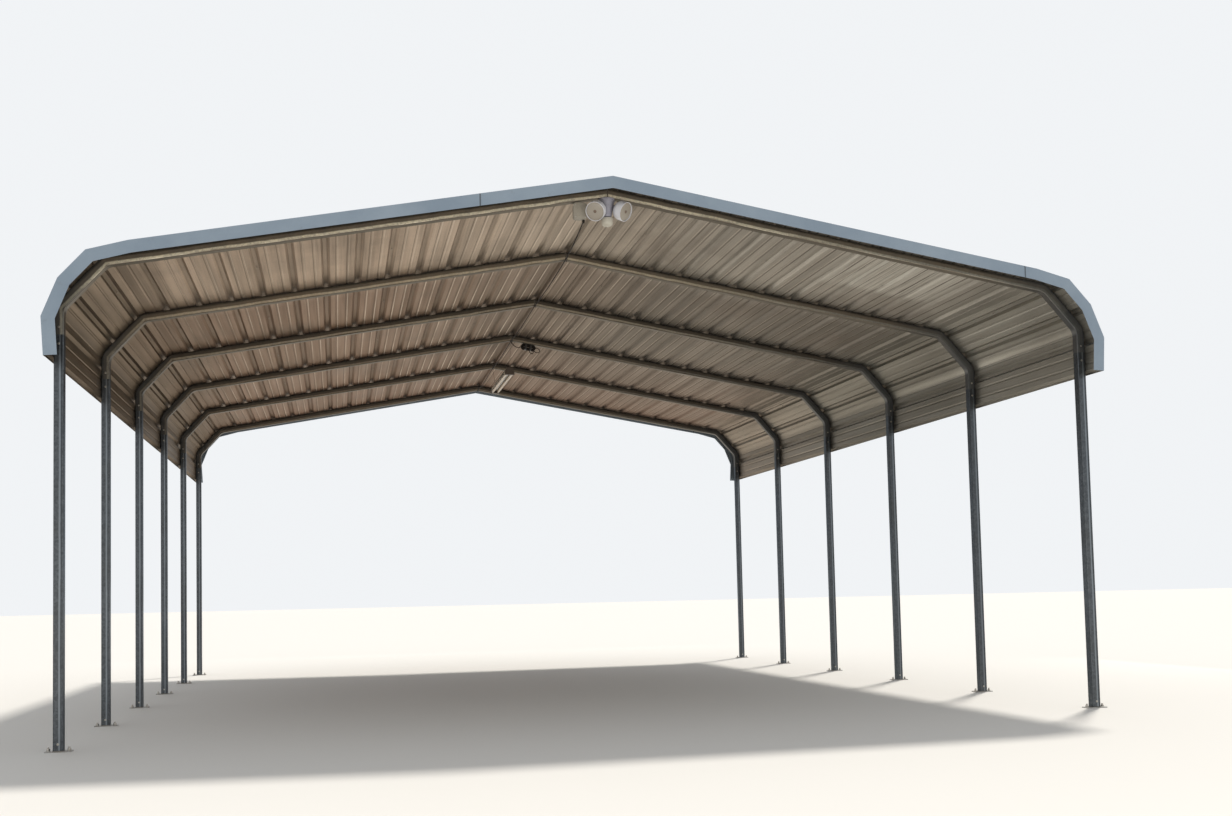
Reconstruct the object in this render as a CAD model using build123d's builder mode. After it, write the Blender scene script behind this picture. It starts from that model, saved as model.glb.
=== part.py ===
from build123d import *
from math import atan2, cos, hypot, pi, radians, sin, tan
import os

os.makedirs("parts", exist_ok=True)

# Frame
bow_count = 6
bay = 1524.0
outside_width = 6705.6
post_top = 2438.4
bow_leg = 162.0
roof_pitch = 10.0
eave_angle = 48.0
eave_length = 380.0
bend_radius = 120.0

# Square tube, and the smaller tube that slides inside it
tube = 57.15
tube_wall = 2.77
tube_corner = 6.0
insert = 50.8
insert_corner = 5.0
sleeve_up = 70.0
sleeve_down = 150.0

# Feet
plate_width = 76.0
plate_thick = 6.0
plate_corner = 8.0
anchor_hole = 14.0
anchor_spacing = 116.0
anchor_edge = 17.0
stub_height = 150.0

# Ribbed sheet
sheet = 0.5
clearance = 0.3
ribs_per_side = 17
ribs_per_panel = 4
panels_per_side = 3
minors_per_bay = 2
skirt_drop = 320.0
rib_height = 19.0
rib_base = 60.0
rib_top = 25.0
minor_height = 3.0
minor_base = 20.0
minor_top = 8.0
overhang = 203.0
shortest_span = 1.0
tangent_step = 0.01

# End trim
trim_face = 76.0
trim_flange = 50.0
trim_joint_left = 0.29
trim_joint_right = 0.97
trim_bulge = 19.0
trim_bulge_start = 0.25
trim_bulge_end = 0.7

# Lights and cord
cord = 8.0
cable_sag = 14.0
cable_radius = 2500.0
hank_side = 105.0
hank_length = 140.0
hank_height = 52.0
hank_count = 5
hank_packing = 0.95
wire = 3.0
hanger_inset = 50.0
box_size = (84.0, 40.0, 100.0)
box_left = -222.0
box_back = 16.0
box_corner = 20.0
lid_lip = 3.0
lid_thick = 10.0
flood_base_width = 108.0
flood_base_height = 12.0
flood_body_top = 100.0
flood_body_low = 56.0
flood_body_height = 104.0
flood_knuckle = 38.0
knuckle_spread = 50.0
knuckle_drop = 54.0
head_front = 124.0
head_back = 36.0
head_length = 78.0
head_drum = 42.0
head_wall = 3.0
lens_depth = 9.0
left_head_swing = 32.0
left_head_dip = 30.0
right_head_swing = 44.0
right_head_dip = 25.0
sensor_width = 74.0
sensor_height = 50.0
sensor_round = 22.0
sensor_stem = 26.0
stem_length = 8.0
strip_length = 1220.0
strip_width = 96.0
strip_top_width = 64.0
strip_height = 42.0
strip_drop = 290.0
strip_side = 30.0
lamp = 26.0
lamp_spacing = 60.0
socket_length = 20.0
socket_low = 6.0

# Lines that follow from those sizes
half_tube = tube / 2
half_width = outside_width / 2 - half_tube
plate_length = anchor_spacing + 2 * anchor_edge
bend_low = post_top + bow_leg
pitch = radians(roof_pitch)
eave = radians(eave_angle)
high_x = half_width - eave_length * cos(eave)
high_z = bend_low + eave_length * sin(eave)
apex = high_z + high_x * tan(pitch)
peak_under = apex - half_tube / cos(pitch)
bow_y = [(i - (bow_count - 1) / 2) * bay for i in range(bow_count)]
roof_length = (bow_count - 1) * bay + 2 * overhang

# The underside of the sheet runs just outside the tube, from the ridge down to the skirt
lift = half_tube + clearance
skin_radius = bend_radius + lift
high_turn = eave - pitch
low_turn = pi / 2 - eave
high_tangent = bend_radius * tan(high_turn / 2)
low_tangent = bend_radius * tan(low_turn / 2)
slope_run = high_x / cos(pitch) - high_tangent + lift * tan(pitch)
bend_ends = [slope_run]
bend_ends.append(bend_ends[-1] + skin_radius * high_turn)
bend_ends.append(bend_ends[-1] + eave_length - high_tangent - low_tangent)
bend_ends.append(bend_ends[-1] + skin_radius * low_turn)
skirt_end = bend_ends[-1] + skirt_drop - low_tangent
rib_pitch = skirt_end / ribs_per_side


def skin(s, h=0.0):
    """Point h outside the underside of the sheet, at s along it from the ridge, left where s is negative."""
    left = s < 0
    s = abs(s)
    x, z, angle, start = 0.0, apex + lift / cos(pitch), pitch, 0.0
    if s == 0:
        return (0.0, z + h)
    for i, end in enumerate(bend_ends + [skirt_end * 2]):
        run = min(s, end) - start
        if i in (1, 3):
            turned = angle + run / skin_radius
            x += skin_radius * (sin(turned) - sin(angle))
            z += skin_radius * (cos(turned) - cos(angle))
            angle = turned
        else:
            x += run * cos(angle)
            z -= run * sin(angle)
        start = end
        if s <= end:
            break
    x += h * sin(angle)
    z += h * cos(angle)
    return (-x if left else x, z)


def on_bend(s):
    """True where the underside of the sheet is bent at s."""
    s = abs(s)
    return bend_ends[0] < s < bend_ends[1] or bend_ends[2] < s < bend_ends[3]


def unit(a, b):
    """Unit vector from a to b."""
    d = hypot(b[0] - a[0], b[1] - a[1])
    return ((b[0] - a[0]) / d, (b[1] - a[1]) / d)


def mitre(p, t0, t1, d):
    """Corner of the parallel at distance d, left of the directions t0 before and t1 after p."""
    n0 = (-t0[1], t0[0])
    n1 = (-t1[1], t1[0])
    k = d / (1 + n0[0] * n1[0] + n0[1] * n1[1])
    return (p[0] + k * (n0[0] + n1[0]), p[1] + k * (n0[1] + n1[1]))


def parallel(points, d):
    """The open polyline points, moved d to its left."""
    ways = [unit(a, b) for a, b in zip(points, points[1:])]
    ways = [ways[0]] + ways + [ways[-1]]
    return [mitre(p, ways[i], ways[i + 1], d) for i, p in enumerate(points)]


def rib_stations(centre, base, top, height, grow=0.0):
    """Distance and height of the four corners of a rib, all its faces moved out by grow."""
    web = atan2(height, (base - top) / 2)
    foot = base / 2 + grow / sin(web)
    crown = top / 2 + grow * tan(web / 2)
    tall = height + grow
    return [(centre - foot, 0.0), (centre - crown, tall), (centre + crown, tall), (centre + foot, 0.0)]


def sheet_stations(first, last, hem=False):
    """Distance and height along a panel from rib first to rib last; a panel covers its lower neighbour's rib."""
    grow = sheet + clearance
    web = atan2(rib_height, (rib_base - rib_top) / 2)
    lap_end = (rib_base / 2 + grow * tan(web / 2), grow)
    out = []
    for i in range(first, last + 1):
        centre = i * rib_pitch
        covers = (i == last and not hem) or (i == first and first < 0)
        rib = rib_stations(centre, rib_base, rib_top, rib_height, grow if covers else 0.0)
        if i == 0:
            rib.insert(2, (0.0, rib_height))
        if i == first and first < 0:
            rib[0] = (centre - lap_end[0], lap_end[1])
        if i == last and hem:
            rib = rib[:2] + [(centre, rib_height)]
        elif i == last:
            rib[-1] = (centre + lap_end[0], lap_end[1])
        out += rib
        if i < last:
            for k in range(1, minors_per_bay + 1):
                middle = centre + k * rib_pitch / (minors_per_bay + 1)
                out += rib_stations(middle, minor_base, minor_top, minor_height)
    for end in bend_ends:
        for side in (-1, 1):
            for k in range(len(out) - 1):
                a, b = out[k], out[k + 1]
                if a[1] == 0 and b[1] == 0 and a[0] + shortest_span < side * end < b[0] - shortest_span:
                    out.insert(k + 1, (side * end, 0.0))
                    break
    return out


def panel(first, last, hem=False):
    """Ribbed sheet with parallel faces between two ribs, as long as the roof."""
    stations = sheet_stations(first, last, hem)
    points = [skin(s, h) for s, h in stations]
    spans = []
    for (s0, h0), (s1, h1), a, b in zip(stations, stations[1:], points, points[1:]):
        s = (s0 + s1) / 2
        if h0 == 0 and h1 == 0 and on_bend(s):
            spans.append((unit(a, skin(s0 + tangent_step)), unit(skin(s1 - tangent_step), b), s))
        else:
            spans.append((unit(a, b), unit(a, b), None))
    outer = []
    for i, p in enumerate(points):
        before = spans[i - 1][1] if i > 0 else spans[0][0]
        after = spans[i][0] if i < len(spans) else spans[-1][1]
        outer.append(mitre(p, before, after, sheet))
    with BuildPart() as part:
        with BuildSketch(Plane.XZ.offset(-roof_length / 2)):
            with BuildLine():
                for i, (_, _, s) in enumerate(spans):
                    if s is None:
                        Line(points[i], points[i + 1])
                        Line(outer[i], outer[i + 1])
                    else:
                        ThreePointArc(points[i], skin(s), points[i + 1])
                        ThreePointArc(outer[i], skin(s, sheet), outer[i + 1])
                Line(points[0], outer[0])
                Line(points[-1], outer[-1])
            make_face()
        extrude(amount=roof_length)
    return part.part


def tube_section(width, corner, x=0.0, y=0.0):
    """Square tube section with rounded corners."""
    with Locations((x, y)):
        RectangleRounded(width, width, corner)
        RectangleRounded(width - 2 * tube_wall, width - 2 * tube_wall, corner - tube_wall, mode=Mode.SUBTRACT)


def save(solid, name):
    """Label a piece and write its file."""
    solid.label = name
    export_step(solid, f"parts/{name}.step")


# Roof bow: half of it bent from one length, mitred at the peak and welded to its mirror image
past_peak = 2 * half_tube
half_points = [
    (half_width, post_top),
    (half_width, bend_low),
    (high_x, high_z),
    (-past_peak, apex + past_peak * tan(pitch)),
]
with BuildPart() as half_bow:
    with BuildLine(Plane.XZ) as half_path:
        FilletPolyline(*half_points, radius=bend_radius)
    with BuildSketch(Plane.XY.offset(post_top)):
        tube_section(tube, tube_corner, half_width)
    sweep(path=half_path.wire())
    split(bisect_by=Plane.YZ, keep=Keep.TOP)
whole_bow = half_bow.part + mirror(half_bow.part, about=Plane.YZ)
for i, y in enumerate(bow_y):
    save(Pos(0, y, 0) * whole_bow, f"bow_{i + 1}")

# Posts stand on the base plates and end square under the bow legs
with BuildPart() as post:
    with BuildSketch(Plane.XY.offset(plate_thick)):
        tube_section(tube, tube_corner)
    extrude(amount=post_top - plate_thick)
for i, y in enumerate(bow_y):
    save(Pos(-half_width, y, 0) * post.part, f"post_left_{i + 1}")
    save(Pos(half_width, y, 0) * post.part, f"post_right_{i + 1}")

# Feet: plate with two anchor holes and an upright stub inside the post
with BuildPart() as left_feet:
    with BuildSketch():
        with Locations(*[(-half_width, y) for y in bow_y]):
            RectangleRounded(plate_length, plate_width, plate_corner)
            with GridLocations(anchor_spacing, 0, 2, 1):
                Circle(anchor_hole / 2, mode=Mode.SUBTRACT)
    extrude(amount=plate_thick)
    with BuildSketch(Plane.XY.offset(plate_thick)):
        for y in bow_y:
            tube_section(insert, insert_corner, -half_width, y)
    extrude(amount=stub_height)
save(left_feet.part, "left_feet")
save(mirror(left_feet.part, about=Plane.YZ), "right_feet")

# Sleeves across the slip joints between posts and bow legs
with BuildPart() as sleeves:
    with BuildSketch(Plane.XY.offset(post_top - sleeve_down)):
        for x in (-half_width, half_width):
            for y in bow_y:
                tube_section(insert, insert_corner, x, y)
    extrude(amount=sleeve_down + sleeve_up)
save(sleeves.part, "sleeves")

# Roof sheets run front to back, each lapped over the next one below it
half_ridge = ribs_per_panel // 2
save(panel(-half_ridge, half_ridge), "ridge_panel")
first = half_ridge
for n in range(1, panels_per_side + 1):
    slope_panel = panel(first, first + ribs_per_panel)
    save(slope_panel, f"right_roof_panel_{n}")
    save(mirror(slope_panel, about=Plane.YZ), f"left_roof_panel_{n}")
    first += ribs_per_panel
eave_panel = panel(first, ribs_per_side, hem=True)
save(eave_panel, "right_eave_panel")
save(mirror(eave_panel, about=Plane.YZ), "left_eave_panel")

# End trim: an angle folded at the ribs of the eave, its flange on the ribs and its face over the sheet ends
trim_lift = rib_height + 2 * (sheet + clearance)
eave_ribs = half_ridge + panels_per_side * ribs_per_panel - 1
trim_ridge = skin(0, trim_lift / cos(pitch))
trim_bends = [
    skin(eave_ribs * rib_pitch, trim_lift + trim_bulge_start * trim_bulge),
    skin((eave_ribs + 1) * rib_pitch, trim_lift + trim_bulge),
    skin((eave_ribs + 2) * rib_pitch, trim_lift + trim_bulge),
    skin((eave_ribs + 3) * rib_pitch, trim_lift + trim_bulge_end * trim_bulge),
    skin(skirt_end, trim_lift),
]


def slope_point(x):
    """Point of the trim's fold above x on the right slope."""
    k = x / trim_bends[0][0]
    return (x, trim_ridge[1] + k * (trim_bends[0][1] - trim_ridge[1]))


def trim(points):
    """Angle along points from left to right, at the front."""
    top = parallel(points, sheet)
    foot = parallel(points, -trim_face)
    front = roof_length / 2 + clearance
    with BuildPart() as part:
        with BuildSketch(Plane.XZ.offset(front)):
            with BuildLine():
                Polyline(*top, *foot[::-1], close=True)
            make_face()
        extrude(amount=sheet)
        with BuildSketch(Plane.XZ.offset(front)):
            with BuildLine():
                Polyline(*top, *points[::-1], close=True)
            make_face()
        extrude(amount=-trim_flange)
    return part.part


def left(points):
    """The points mirrored to the left side, in order from left to right."""
    return [(-x, z) for x, z in points[::-1]]


half_gap = clearance / 2
left_joint = trim_joint_left * trim_bends[0][0]
right_joint = trim_joint_right * trim_bends[0][0]
right_points = [slope_point(right_joint + half_gap)] + trim_bends
ridge_points = left([slope_point(left_joint - half_gap)]) + [trim_ridge, slope_point(right_joint - half_gap)]
left_points = left([slope_point(left_joint + half_gap)] + trim_bends)
for place, points in (("left", left_points), ("ridge", ridge_points), ("right", right_points)):
    angle = trim(points)
    save(angle, f"front_{place}_trim")
    save(mirror(angle, about=Plane.XZ), f"back_{place}_trim")

# Junction box under the left half of the front bow, its lid a little larger than the box
box_x = box_left + box_size[0] / 2 + lid_lip
box_top = apex - half_tube / cos(pitch) + box_left * tan(pitch) - clearance
box_z = box_top - box_size[2] / 2 - lid_lip
box_front = bow_y[0] + box_back - box_size[1] / 2
with BuildPart() as junction_box:
    with BuildSketch(Plane.XZ.offset(-box_front - box_size[1])):
        with Locations((box_x, box_z)):
            RectangleRounded(box_size[0], box_size[2], box_corner - lid_lip)
    extrude(amount=box_size[1])
    with BuildSketch(Plane.XZ.offset(-box_front)):
        with Locations((box_x, box_z)):
            RectangleRounded(box_size[0] + 2 * lid_lip, box_size[2] + 2 * lid_lip, box_corner)
    extrude(amount=lid_thick)
save(junction_box.part, "junction_box")

# Flood light under the front peak: tapered base with a knuckle for each lamp head, motion sensor below
base_top = peak_under - flood_base_width / 2 * tan(pitch) - clearance
body_low = base_top - flood_base_height - flood_body_height
with BuildPart() as flood_base:
    with Locations((0, 0, -flood_base_height / 2)):
        Cylinder(flood_base_width / 2, flood_base_height)
    with Locations((0, 0, -flood_base_height - flood_body_height / 2)):
        Cone(flood_body_low / 2, flood_body_top / 2, flood_body_height)
    with Locations((-knuckle_spread, 0, -knuckle_drop), (knuckle_spread, 0, -knuckle_drop)):
        Sphere(flood_knuckle / 2)
save(Pos(0, bow_y[0], base_top) * flood_base.part, "flood_base")


def head(side, swing, dip):
    """Lamp head on the knuckle of one side: a dome and a drum, turned outward by swing and down by dip."""
    swing = radians(swing)
    dip = radians(dip)
    aim = Vector(side * sin(swing) * cos(dip), -cos(swing) * cos(dip), -sin(dip))
    knuckle = Vector(side * knuckle_spread, bow_y[0], base_top - knuckle_drop)
    dome = head_length - head_drum
    shoulder = head_back / 2 + (head_front - head_back) / 2 * sin(pi / 4)
    with BuildPart() as part:
        with BuildSketch(Plane.XZ):
            with BuildLine():
                Line((0, 0), (head_back / 2, 0))
                ThreePointArc((head_back / 2, 0), (shoulder, dome * (1 - cos(pi / 4))), (head_front / 2, dome))
                Line((head_front / 2, dome), (head_front / 2, head_length))
                Line((head_front / 2, head_length), (head_front / 2 - head_wall, head_length))
                Line((head_front / 2 - head_wall, head_length), (head_front / 2 - head_wall, head_length - lens_depth))
                Line((head_front / 2 - head_wall, head_length - lens_depth), (0, head_length - lens_depth))
                Line((0, head_length - lens_depth), (0, 0))
            make_face()
        revolve(axis=Axis.Z)
    return Plane(origin=knuckle + aim * (flood_knuckle / 2 + clearance), z_dir=aim) * part.part


left_head = head(-1, left_head_swing, left_head_dip)
right_head = head(1, right_head_swing, right_head_dip)
with BuildPart() as flood_heads:
    add(left_head)
    add(right_head)
save(flood_heads.part, "flood_heads")

with BuildPart() as flood_sensor:
    with Locations((0, 0, -stem_length / 2)):
        Cylinder(sensor_stem / 2, stem_length)
    with Locations((0, 0, -stem_length - sensor_height / 2)):
        Cylinder(sensor_width / 2, sensor_height)
    fillet(flood_sensor.faces().sort_by(Axis.Z)[0].edges(), sensor_round)
save(Pos(0, bow_y[0], body_low - clearance) * flood_sensor.part, "flood_sensor")

# Strip light hung between the fourth and fifth bows: tapered housing with lamp holders at its ends
strip_back = bow_y[4] + half_tube
strip_y = strip_back - strip_length / 2
strip_z = peak_under + half_tube / cos(pitch) - strip_drop
strip_low = strip_z + lamp / 2 + clearance
strip_top = strip_low + strip_height
with BuildPart() as strip_housing:
    with BuildSketch(Plane.XZ.offset(-strip_back)):
        with BuildLine():
            Polyline(
                (strip_side - strip_width / 2, strip_low),
                (strip_side + strip_width / 2, strip_low),
                (strip_side + strip_top_width / 2, strip_top),
                (strip_side - strip_top_width / 2, strip_top),
                close=True,
            )
        make_face()
    extrude(amount=strip_length)
    for end in (strip_back - socket_length / 2, strip_back - strip_length + socket_length / 2):
        with BuildSketch(Plane.XY.offset(strip_z - lamp / 2 - socket_low)):
            with Locations((strip_side, end)):
                Rectangle(strip_width, socket_length)
        extrude(amount=lamp + clearance + socket_low)
save(strip_housing.part, "strip_housing")

tube_length = strip_length - 2 * socket_length - 2 * clearance
with BuildPart() as strip_tubes:
    with Locations((strip_side, strip_y, strip_z)):
        with GridLocations(lamp_spacing, 0, 2, 1):
            Cylinder(lamp / 2, tube_length, rotation=(90, 0, 0))
save(strip_tubes.part, "strip_tubes")


def hanger(y, end_y):
    """Straight wire from beside the cable under the peak at y to the top of the strip light."""
    beside = cord / 2 + wire / 2 + 2 * clearance
    a = Vector(beside, y, peak_under - beside * tan(pitch))
    b = Vector(strip_side, end_y, strip_top)
    slant = hypot(b.X - a.X, b.Y - a.Y) / (b - a).length
    gap = Vector(0, 0, clearance + wire / 2 * slant)
    a = a - gap
    b = b + gap
    with BuildPart() as part:
        with BuildSketch(Plane(origin=a, z_dir=(b - a).normalized())):
            Circle(wire / 2)
        extrude(amount=(b - a).length)
    return part.part


near_hanger = hanger(bow_y[3], strip_back - strip_length + hanger_inset)
far_hanger = hanger(bow_y[4], strip_back - hanger_inset)
with BuildPart() as strip_hangers:
    add(near_hanger)
    add(far_hanger)
save(strip_hangers.part, "strip_hangers")

# Cable from the junction box to the back bow, tied under each peak and sagging between
cord_z = peak_under - cord / 2 - clearance
box_right = box_left + box_size[0] + 2 * lid_lip
cable_start = Vector(box_right - box_corner, bow_y[0], box_top - box_size[2] - 2 * lid_lip - cord / 2)
ties = [Vector(0, y, cord_z) for y in bow_y[1:]]
cable_points = [cable_start]
for tie in ties:
    cable_points.append((cable_points[-1] + tie) / 2 - Vector(0, 0, cable_sag))
    cable_points.append(tie)
with BuildPart() as ridge_cable:
    with BuildLine() as cable_line:
        FilletPolyline(*cable_points, radius=cable_radius)
    with BuildSketch(Plane(origin=cable_points[0], z_dir=cable_line.wire() % 0)):
        Circle(cord / 2)
    sweep(path=cable_line.wire())
save(ridge_cable.part, "ridge_cable")

# Spare cord wound into a hank and tied under the right half of the fourth bow
hank_x = hank_side + hank_length / 2
hank_z = peak_under - hank_x * tan(pitch) - hank_height / 2 - cord / 2 - 2 * clearance
with BuildPart() as hank_turns:
    for n in range(hank_count):
        turn = Plane(
            origin=(0, (n - (hank_count - 1) / 2) * cord * hank_packing, 0),
            x_dir=(1, 0, 0),
            z_dir=(0, -1, 0),
        )
        shorter = (n % 2) * cord
        with BuildLine(turn) as turn_line:
            half = (hank_length - hank_height - shorter) / 2
            Line((-half, -hank_height / 2), (half, -hank_height / 2))
            ThreePointArc((half, -hank_height / 2), (half + hank_height / 2, 0), (half, hank_height / 2))
            Line((half, hank_height / 2), (-half, hank_height / 2))
            ThreePointArc((-half, hank_height / 2), (-half - hank_height / 2, 0), (-half, -hank_height / 2))
        with BuildSketch(Plane(origin=turn.from_local_coords((0, -hank_height / 2)), z_dir=(1, 0, 0))):
            Circle(cord / 2)
        sweep(path=turn_line.wire())
save(Pos(hank_x, bow_y[3], hank_z) * Rot(0, roof_pitch, 0) * hank_turns.part, "cord_hank")
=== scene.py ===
import bpy
import numpy as np
from math import cos, pi, radians, sin, tan
from mathutils import Matrix, Vector


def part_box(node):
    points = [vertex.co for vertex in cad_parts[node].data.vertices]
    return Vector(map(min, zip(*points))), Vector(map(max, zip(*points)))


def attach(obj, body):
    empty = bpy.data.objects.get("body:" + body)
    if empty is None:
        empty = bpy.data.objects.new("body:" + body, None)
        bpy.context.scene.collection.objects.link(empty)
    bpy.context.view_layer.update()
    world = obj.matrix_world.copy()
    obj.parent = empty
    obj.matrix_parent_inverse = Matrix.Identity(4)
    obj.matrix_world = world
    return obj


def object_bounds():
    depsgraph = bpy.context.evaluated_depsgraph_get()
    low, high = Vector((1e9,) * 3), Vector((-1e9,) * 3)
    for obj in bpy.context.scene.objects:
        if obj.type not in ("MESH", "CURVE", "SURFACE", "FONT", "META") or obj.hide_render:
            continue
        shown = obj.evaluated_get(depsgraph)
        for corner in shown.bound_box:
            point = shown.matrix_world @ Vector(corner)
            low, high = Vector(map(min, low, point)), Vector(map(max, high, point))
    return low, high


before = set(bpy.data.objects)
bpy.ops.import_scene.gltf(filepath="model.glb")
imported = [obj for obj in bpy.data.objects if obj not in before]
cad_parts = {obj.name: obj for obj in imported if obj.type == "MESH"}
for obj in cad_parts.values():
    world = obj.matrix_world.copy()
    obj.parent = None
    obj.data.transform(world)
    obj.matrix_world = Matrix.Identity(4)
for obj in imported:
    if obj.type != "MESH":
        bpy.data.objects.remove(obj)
cad_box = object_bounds()

# The view: the carport is seen from in front of its open end, a little left of the middle and
# low down, looking slightly up and to the right. The shift keeps the posts upright in the frame.
heading = radians(11.184)
climb = radians(3.283)
tilt = radians(-1.243)
eye = (-1.7348, -11.6091, 0.8420)
ahead = Vector((sin(heading) * cos(climb), cos(heading) * cos(climb), sin(climb)))
level = Vector((cos(heading), -sin(heading), 0.0))
above = level.cross(ahead)
across = level * cos(tilt) + above * sin(tilt)
upward = above * cos(tilt) - level * sin(tilt)
lens = bpy.data.cameras.new("view")
lens.sensor_width = 36.0
lens.lens = 36.741
lens.shift_x = 0.0257
lens.shift_y = 0.0931
lens.clip_end = 500.0
view = bpy.data.objects.new("view", lens)
turn = Matrix((across, upward, -ahead)).transposed().to_4x4()
view.matrix_world = Matrix.Translation(eye) @ turn
bpy.context.scene.collection.objects.link(view)
bpy.context.scene.camera = view
bpy.context.scene.view_settings.view_transform = "Standard"

# The studio: a plain pale floor, one soft sun from high on the right behind the roof, an even
# pale surround, and wide soft lights close above the floor that reach the roof's underside.

def material(name):
    """A new material with nodes, its tree and its Principled shader."""
    made = bpy.data.materials.new(name)
    made.use_nodes = True
    tree = made.node_tree
    shader = next(n for n in tree.nodes if n.type == "BSDF_PRINCIPLED")
    return made, tree, shader


def add(tree, kind, inputs=None, **settings):
    """A node of that kind; inputs are values for its sockets, or the sockets that feed them."""
    made = tree.nodes.new("ShaderNode" + kind)
    for name, value in settings.items():
        setattr(made, name, value)
    for name, value in (inputs or {}).items():
        socket = made.inputs[name]
        if isinstance(value, bpy.types.NodeSocket):
            tree.links.new(value, socket)
        else:
            socket.default_value = value
    return made


def calc(tree, operation, *values):
    """What a Math node makes of the values, each a number or a socket."""
    return add(tree, "Math", dict(enumerate(values)), operation=operation).outputs[0]


def blend(tree, factor, a, b):
    """Colour a mixed towards colour b by factor; each may be a value or a socket."""
    mixed = add(tree, "Mix", data_type="RGBA")
    factor_socket = mixed.inputs[0]
    if isinstance(factor, bpy.types.NodeSocket):
        tree.links.new(factor, factor_socket)
    else:
        factor_socket.default_value = factor
    for label, value in (("A", a), ("B", b)):
        socket = next(s for s in mixed.inputs if s.name == label and s.type == "RGBA")
        if isinstance(value, bpy.types.NodeSocket):
            tree.links.new(value, socket)
        else:
            socket.default_value = (*value, 1)
    return next(s for s in mixed.outputs if s.type == "RGBA")


floor_span = 120.0
across_floor, along_floor = np.meshgrid([-floor_span, floor_span], [-floor_span, floor_span])
corners = np.stack([across_floor, along_floor, np.zeros((2, 2))], -1).reshape(-1, 3)
corners[:, 2] = cad_box[0][2]
floor_mesh = bpy.data.meshes.new("floor")
floor_mesh.from_pydata(corners.tolist(), [], [(0, 1, 3, 2)])
floor = bpy.data.objects.new("floor", floor_mesh)
bpy.context.scene.collection.objects.link(floor)
floor_coat, tree, shader = material("floor")
grain = add(tree, "TexNoise", {"Scale": 0.35, "Detail": 3.0})
base = blend(tree, grain.outputs["Fac"], (0.70, 0.675, 0.63), (0.74, 0.72, 0.68))
tree.links.new(base, shader.inputs["Base Color"])
shader.inputs["Roughness"].default_value = 0.9
floor_mesh.materials.append(floor_coat)

surround = bpy.data.worlds.new("surround")
bpy.context.scene.world = surround
surround.use_nodes = True
tree = surround.node_tree
tree.nodes.clear()
paths = add(tree, "LightPath")
seen = calc(tree, "MAXIMUM", paths.outputs["Is Camera Ray"], paths.outputs["Is Glossy Ray"])
seen = calc(tree, "MAXIMUM", seen, paths.outputs["Is Transmission Ray"])
lit = add(tree, "Background", {"Color": (0.93, 0.96, 1.0, 1), "Strength": 0.65})
shown = add(tree, "Background", {"Color": (0.88, 0.90, 0.92, 1), "Strength": 1.0})
either = add(tree, "MixShader", {0: seen, 1: lit.outputs[0], 2: shown.outputs[0]})
add(tree, "OutputWorld", {"Surface": either.outputs[0]})

sun_from = Vector((0.36, 0.42, 1.0))
sun_data = bpy.data.lights.new("sun", "SUN")
sun_data.energy = 2.8
sun_data.angle = radians(6)
sun_data.color = (1.0, 0.965, 0.91)
sun = bpy.data.objects.new("sun", sun_data)
sun.rotation_euler = sun_from.to_track_quat("Z", "Y").to_euler()
bpy.context.scene.collection.objects.link(sun)

from_below = (1.0, 0.95, 0.87)
for name, place, aim, size, power in (
    ("bounce_front", (0.5, -8.5, 0.25), (0.0, 0.4, 1.0), (11.0, 4.0), 190.0),
    ("bounce_left", (-7.0, 0.0, 0.25), (0.6, 0.0, 1.0), (3.0, 9.0), 60.0),
    ("bounce_right", (7.0, 0.0, 0.25), (-0.6, 0.0, 1.0), (3.0, 9.0), 130.0),
    ("bounce_back", (0.0, 8.5, 0.25), (0.0, -0.4, 1.0), (11.0, 4.0), 120.0),
):
    data = bpy.data.lights.new(name, "AREA")
    data.shape = "RECTANGLE"
    data.size, data.size_y = size
    data.energy = power
    data.color = from_below
    light = bpy.data.objects.new(name, data)
    light.location = place
    light.rotation_euler = Vector(aim).to_track_quat("-Z", "Y").to_euler()
    light.visible_camera = False
    bpy.context.scene.collection.objects.link(light)

# Zinc: hot-dip coating grows in crystals that reflect a little differently from each other. The
# group gives the crystals' brightness, and a slower mottling where the coating has weathered.

def group(name, inputs, outputs):
    """A new shader node group with float inputs and outputs of the given kinds."""
    made = bpy.data.node_groups.new(name, "ShaderNodeTree")
    for label, value in inputs.items():
        socket = made.interface.new_socket(label, in_out="INPUT", socket_type="NodeSocketFloat")
        socket.default_value = value
    for label, kind in outputs.items():
        made.interface.new_socket(label, in_out="OUTPUT", socket_type="NodeSocket" + kind)
    return made, made.nodes.new("NodeGroupInput"), made.nodes.new("NodeGroupOutput")


coat_sizes = {"Crystal": 70.0, "Weather": 2.5}
zinc, given, result = group("zinc", coat_sizes, {"Spangle": "Float", "Mottle": "Float"})
place = add(zinc, "TexCoord").outputs["Object"]
crystals = add(zinc, "TexVoronoi", {"Vector": place, "Scale": given.outputs["Crystal"]})
bright = add(zinc, "SeparateColor", {0: crystals.outputs["Color"]})
grown = {"Vector": place, "Scale": given.outputs["Weather"], "Detail": 6.0, "Roughness": 0.62}
weather = add(zinc, "TexNoise", grown)
zinc.links.new(bright.outputs[0], result.inputs["Spangle"])
zinc.links.new(weather.outputs["Fac"], result.inputs["Mottle"])

# Dust: dry dirt lies on every part in specks and cloudy patches, because no rain washes it off
# under the roof. The group gives how much of it covers each place.
dust, given, result = group("dust", {"Size": 30.0, "Amount": 0.5}, {"Cover": "Float"})
place = add(dust, "TexCoord").outputs["Object"]
settled = {"Vector": place, "Scale": given.outputs["Size"], "Detail": 8.0, "Roughness": 0.7}
cloud = add(dust, "TexNoise", settled).outputs["Fac"]
densest = 0.95
thin = calc(dust, "SUBTRACT", densest, given.outputs["Amount"])
cover = add(dust, "MapRange", {"Value": cloud, "From Min": thin, "From Max": densest})
dust.links.new(cover.outputs[0], result.inputs["Cover"])

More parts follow.
